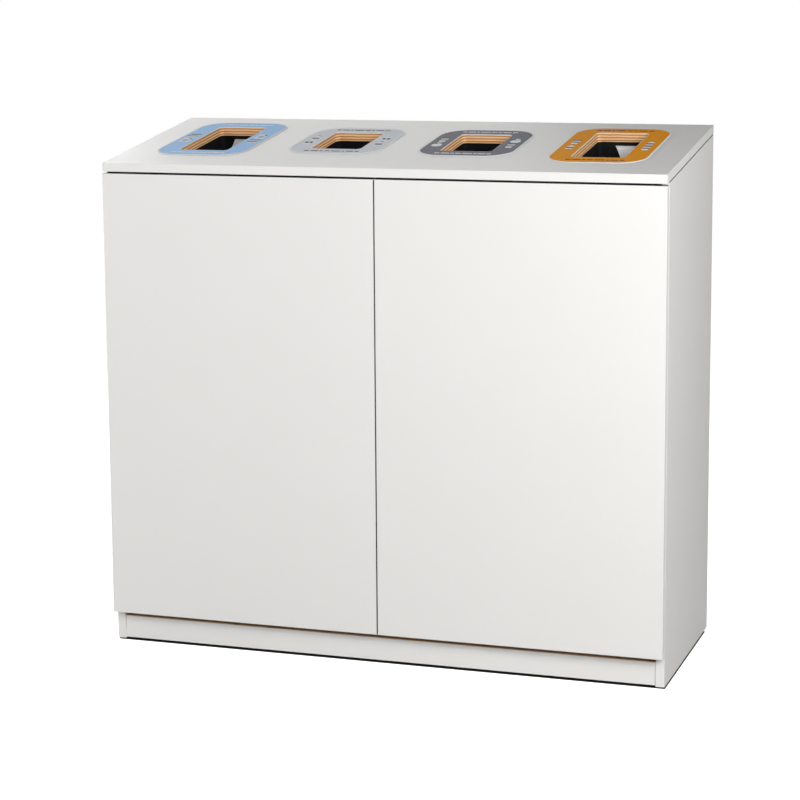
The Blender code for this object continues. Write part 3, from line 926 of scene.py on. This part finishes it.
def screw_tree():
    """Cross-head screws: one on each point, along the point's "facing", each turned at random."""
    sizes = {"Head radius": 3.5 * MM, "Head height": 1.6 * MM, "Recess": 1.0 * MM, "Seed": 4}
    tree, graph, given = tree_inputs("cross-head screws", sizes)
    radius, height = given["Head radius"], given["Head height"]
    sockets = {"Vertices": 20, "Side Segments": 1, "Radius Top": radius * 0.62}
    sockets.update({"Radius Bottom": radius, "Depth": height})
    head = graph.node("GeometryNodeMeshCone", None, sockets)
    recess = given["Recess"]
    tools = []
    for long_way, short_way in ((radius * 1.15, recess), (recess, radius * 1.15)):
        size = graph.node(
            "ShaderNodeCombineXYZ", None, {0: long_way, 1: short_way, 2: height * 1.2}
        )
        arm = graph.node("GeometryNodeMeshCube", None, {"Size": size})
        lift = graph.node("ShaderNodeCombineXYZ", None, {2: height * 0.95})
        moved = {"Geometry": arm, "Translation": lift}
        tools.append(graph.node("GeometryNodeTransform", None, moved))
    cut = head
    for tool in tools:
        settings = {"operation": "DIFFERENCE", "solver": "FLOAT"}
        cut = graph.node("GeometryNodeMeshBoolean", settings, {"Mesh 1": cut, "Mesh 2": tool})
    facing = graph.node(
        "GeometryNodeInputNamedAttribute", {"data_type": "FLOAT_VECTOR"}, {"Name": "facing"}
    )
    aim = graph.node(
        "FunctionNodeAlignRotationToVector", {"axis": "Z", "pivot_axis": "AUTO"}, {"Vector": facing}
    )
    turn = graph.node(
        "FunctionNodeRandomValue", {"data_type": "FLOAT"}, {3: math.pi, "Seed": given["Seed"]}, 1
    )
    spin = graph.node("ShaderNodeCombineXYZ", None, {2: turn})
    sockets = {"Rotation": aim, "Rotate By": spin}
    aimed = graph.node("FunctionNodeRotateRotation", {"rotation_space": "LOCAL"}, sockets)
    placed = graph.node(
        "GeometryNodeInstanceOnPoints",
        None,
        {"Points": given["Geometry"], "Instance": cut, "Rotation": aimed},
    )
    end_tree(graph, placed, given["Finish"])
    return tree


def rib_tree():
    """Small upright fins spaced along a closed path, square to it."""
    sizes = {"Rib spacing": 24.0 * MM, "Rib height": 9.0 * MM}
    sizes.update({"Rib depth": 6.0 * MM, "Rib width": 1.8 * MM})
    tree, graph, given = tree_inputs("rim ribs", sizes)
    curve = graph.node("GeometryNodeMeshToCurve", None, {0: given["Geometry"]})
    spaced = graph.node(
        "GeometryNodeCurveToPoints", {"mode": "LENGTH"}, {0: curve, "Length": given["Rib spacing"]}
    )
    size = graph.node(
        "ShaderNodeCombineXYZ",
        None,
        {0: given["Rib width"], 1: given["Rib depth"], 2: given["Rib height"]},
    )
    fin = graph.node("GeometryNodeMeshCube", None, {"Size": size})
    tangent = graph.more(spaced, 1)
    aim = graph.node(
        "FunctionNodeAlignRotationToVector", {"axis": "X", "pivot_axis": "Z"}, {"Vector": tangent}
    )
    placed = graph.node(
        "GeometryNodeInstanceOnPoints", None, {"Points": spaced, "Instance": fin, "Rotation": aim}
    )
    end_tree(graph, placed, given["Finish"])
    return tree


def grown(tree, mesh, sizes, finish):
    """What a tree makes of a mesh, with these named sizes."""
    piece = bpy.data.objects.new(tree.name, mesh)
    bpy.context.scene.collection.objects.link(piece)
    modifier = piece.modifiers.new(tree.name, "NODES")
    modifier.node_group = tree
    for item in tree.interface.items_tree:
        if item.in_out == "INPUT" and item.name in sizes:
            modifier[item.identifier] = sizes[item.name]
        if item.in_out == "INPUT" and item.name == "Finish":
            modifier[item.identifier] = finish
    return evaluated(piece)


def along_path(tree, path, sizes, finish):
    """What a tree makes along a closed path."""
    mesh = bpy.data.meshes.new("path")
    edges = [(index, (index + 1) % len(path)) for index in range(len(path))]
    mesh.from_pydata(path, edges, [])
    return grown(tree, mesh, sizes, finish)


def screws(name, tree, seats, sizes, finish, body):
    """Screws on (point, facing) seats, as one piece that rides on a body."""
    mesh = bpy.data.meshes.new("screw seats")
    mesh.from_pydata([point for point, _ in seats], [], [])
    facing = mesh.attributes.new("facing", "FLOAT_VECTOR", "POINT")
    facing.data.foreach_set("vector", [value for _, way in seats for value in way])
    made = grown(tree, mesh, sizes, finish)
    made.shade_flat()
    return keep(name, made, finish, body)


# Fittings


def build_hinges(finishes):
    """Plates, arms, links and cups with eased edges."""
    for side, _ in SIDES:
        for level in LEVELS:
            stem = f"{side}_{level}_hinge"
            for part, radius in (("plate", 0.5), ("arm", 0.5), ("link", 0.3), ("cup", 0.25)):
                node = f"{stem}_{part}"
                mesh = eased(node_mesh(node), radius * MM, 2)
                body = body_of(node)
                keep(f"{node}_steel", mesh, finishes["nickel"], body, [node])


def build_latches(finishes):
    for side, _ in SIDES:
        for part, finish, slot in (
            ("latch_housing", "grey", "grey_plastic"),
            ("latch_plunger", "grey", "grey_plastic"),
            ("strike_plate", "zinc", "nickelled_steel"),
        ):
            node = f"{side}_{part}"
            mesh = eased(node_mesh(node), 0.3 * MM, 2)
            keep(f"{node}_finished", mesh, finishes[finish], body_of(node), [node])


def build_glides(finishes):
    for column in ("left", "centre", "right"):
        for row in ("front", "rear"):
            node = f"{column}_{row}_glide"
            mesh = eased(node_mesh(node), 0.3 * MM, 2)
            keep(f"{node}_pad", mesh, finishes["grey"], "cabinet", [node])


WOOD_SCREW = {"Head radius": 3.6 * MM, "Head height": 1.5 * MM}
SMALL_SCREW = {"Head radius": 2.4 * MM, "Head height": 1.0 * MM, "Recess": 0.7 * MM}
WING_REACH = 4.0 * MM  # of a hinge plate's screws, in from its edge
WING_INSET = 7.5 * MM  # of the same screws, from its two ends
ARM_SCREWS = (0.62, 0.86)  # shares of a hinge arm's length
ARM_DIP = 1.1 * MM  # of those screws, under the arm's top
CUP_INSET = 4.2 * MM  # of a hinge cup's screws, from its two ends
FLANGE_INSET = 9 * MM  # of the screws in a chute's flange
BACK_INSET = 12 * MM  # of the screws round the back panel
BACK_DIP = 0.7 * MM  # how far those are driven in
BACK_COLUMNS = 9
BACK_ROWS = 7


def hinge_seats(side, sign):
    """Where the screws of one door's hinges sit: in the plates, in the arms and in the cups."""
    inward = (-sign, 0, 0)
    plate_seats, arm_seats, cup_seats = [], [], []
    for level in LEVELS:
        low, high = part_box(f"{side}_{level}_hinge_plate")
        edge = high.x if sign < 0 else low.x
        wing_x = edge + sign * WING_REACH
        y = (low.y + high.y) / 2
        for z in (low.z + WING_INSET, high.z - WING_INSET):
            plate_seats.append(((wing_x, y, z), inward))
        low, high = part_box(f"{side}_{level}_hinge_arm")
        top_x = high.x if sign < 0 else low.x
        z = (low.z + high.z) / 2
        for share in ARM_SCREWS:
            y = low.y + (high.y - low.y) * share
            arm_seats.append(((top_x + sign * ARM_DIP, y, z), inward))
        low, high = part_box(f"{side}_{level}_hinge_cup")
        x = (low.x + high.x) / 2
        for z in (low.z + CUP_INSET, high.z - CUP_INSET):
            cup_seats.append(((x, high.y, z), (0, 1, 0)))
    return plate_seats, arm_seats, cup_seats


def chute_seats():
    """Four seats under each chute's flange."""
    seats = []
    under = (SLOPE.to_3x3() @ Vector((0, 0, -1))).to_tuple()
    for colour in COLOURS:
        points = chute_points(colour)
        reach_x = max(point.x for point in points) - FLANGE_INSET
        reach_y = max(point.y for point in points) - FLANGE_INSET
        flange = min(point.z for point in points if point.x > reach_x)
        middle = label_place(colour)[0]
        for side in (-1, 1):
            for end in (-1, 1):
                x = middle[0] + side * (reach_x - middle[0])
                y = middle[1] + end * (reach_y - middle[1])
                seats.append((SLOPE @ Vector((x, y, flange)), under))
    return seats


def back_seats():
    """Seats round the back panel and down its middle."""
    low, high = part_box("back_panel")
    left, right = low.x + BACK_INSET, high.x - BACK_INSET
    foot, head = low.z + BACK_INSET, high.z - BACK_INSET
    y = high.y - BACK_DIP
    places = []
    for index in range(BACK_COLUMNS):
        x = left + (right - left) * index / (BACK_COLUMNS - 1)
        places += [(x, z) for z in (foot, head)]
    for index in range(1, BACK_ROWS - 1):
        z = foot + (head - foot) * index / (BACK_ROWS - 1)
        places += [(x, z) for x in (left, 0.0, right)]
    return [((x, y, z), (0, 1, 0)) for x, z in places]


def build_screws(finishes):
    """Every visible screw, on the part that it fastens."""
    tree = screw_tree()
    zinc = finishes["zinc"]
    all_plates, all_arms = [], []
    for side, sign in SIDES:
        plates, arms, cups = hinge_seats(side, sign)
        all_plates += plates
        all_arms += arms
        screws(f"{side}_door_screws", tree, cups, SMALL_SCREW, zinc, f"{side}_door")
    screws("hinge_plate_screws", tree, all_plates, WOOD_SCREW, zinc, "cabinet")
    screws("hinge_arm_screws", tree, all_arms, SMALL_SCREW, zinc, "cabinet")
    screws("chute_screws", tree, chute_seats(), WOOD_SCREW, zinc, "cabinet")
    screws("back_panel_screws", tree, back_seats(), WOOD_SCREW, zinc, "cabinet")


# Stage, light and camera


STAGE_SIZE = 14.0


def build_stage():
    bm = bmesh.new()
    bmesh.ops.create_grid(bm, x_segments=8, y_segments=8, size=STAGE_SIZE)
    mesh = bpy.data.meshes.new("floor")
    bm.to_mesh(mesh)
    bm.free()
    floor = bpy.data.objects.new("studio_floor", mesh)
    bpy.context.scene.collection.objects.link(floor)
    mesh.materials.append(stage_finish())


# Each light's place, the point that it faces, its width and height, and its watts
LIGHTS = {
    "front_box": ((1.8, -3.4, 2.4), (0.1, -0.2, 0.7), (1.8, 1.6), 59.0),
    "left_box": ((-2.8, -2.6, 1.8), (0.0, 0.0, 0.6), (2.0, 2.0), 58.0),
    "right_box": ((3.2, -1.4, 1.9), (0.6, 0.0, 0.6), (1.6, 1.6), 25.0),
    "near_right_box": ((2.0, -1.7, 1.6), (0.6, -0.2, 0.8), (0.9, 0.9), 26.0),
    "back_box": ((-1.6, 2.6, 2.1), (-0.2, 0.0, 1.05), (2.4, 1.6), 34.0),
    "back_left_box": ((-2.6, 2.0, 1.7), (-0.5, 0.0, 1.05), (1.6, 1.2), 70.0),
}
SKY_LIGHT = 0.04


def soft_light(name, place, target, size, power):
    data = bpy.data.lights.new(name, "AREA")
    data.shape = "RECTANGLE"
    data.size, data.size_y = size
    data.energy = power
    light = bpy.data.objects.new(name, data)
    bpy.context.scene.collection.objects.link(light)
    light.location = place
    aim = Vector(target) - Vector(place)
    light.rotation_euler = aim.to_track_quat("-Z", "Y").to_euler()


def build_light():
    """The area lights, and a world that is white to the lens and dim to everything else."""
    world = bpy.data.worlds.new("studio")
    bpy.context.scene.world = world
    world.use_nodes = True
    graph = Graph(world.node_tree)
    background = world.node_tree.nodes["Background"]
    seen = graph.node("ShaderNodeLightPath")
    strength = seen * (1.0 - SKY_LIGHT) + SKY_LIGHT
    world.node_tree.links.new(strength.socket, background.inputs["Strength"])
    background.inputs["Color"].default_value = (1.0, 1.0, 1.0, 1.0)
    for name, (place, target, size, power) in LIGHTS.items():
        soft_light(name, place, target, size, power)


LENS = 102.289
CAMERA_PLACE = (1.4936, -4.5411, 1.4132)
CAMERA_YAW = math.radians(18.477)
CAMERA_PITCH = math.radians(8.582)
CAMERA_ROLL = math.radians(-0.39)
CAMERA_SHIFT = -0.10


def build_camera():
    data = bpy.data.cameras.new("camera")
    data.lens = LENS
    data.sensor_width = 36.0
    data.shift_y = CAMERA_SHIFT
    camera = bpy.data.objects.new("camera", data)
    bpy.context.scene.collection.objects.link(camera)
    turn = Matrix.Rotation(CAMERA_YAW, 4, "Z") @ Matrix.Rotation(math.pi / 2 - CAMERA_PITCH, 4, "X")
    turn = turn @ Matrix.Rotation(CAMERA_ROLL, 4, "Z")
    camera.matrix_world = Matrix.Translation(CAMERA_PLACE) @ turn
    bpy.context.scene.camera = camera
    bpy.context.scene.view_settings.view_transform = "Standard"


def main():
    build_camera()
    finishes = make_finishes()
    build_boards(finishes)
    build_top(finishes)
    for colour in COLOURS:
        build_label(finishes, colour)
    build_gap_shadow_strips(finishes)
    build_chutes(finishes)
    build_light_patch_plates(finishes)
    build_bins(finishes)
    build_hinges(finishes)
    build_latches(finishes)
    build_glides(finishes)
    build_screws(finishes)
    build_stage()
    build_light()


main()
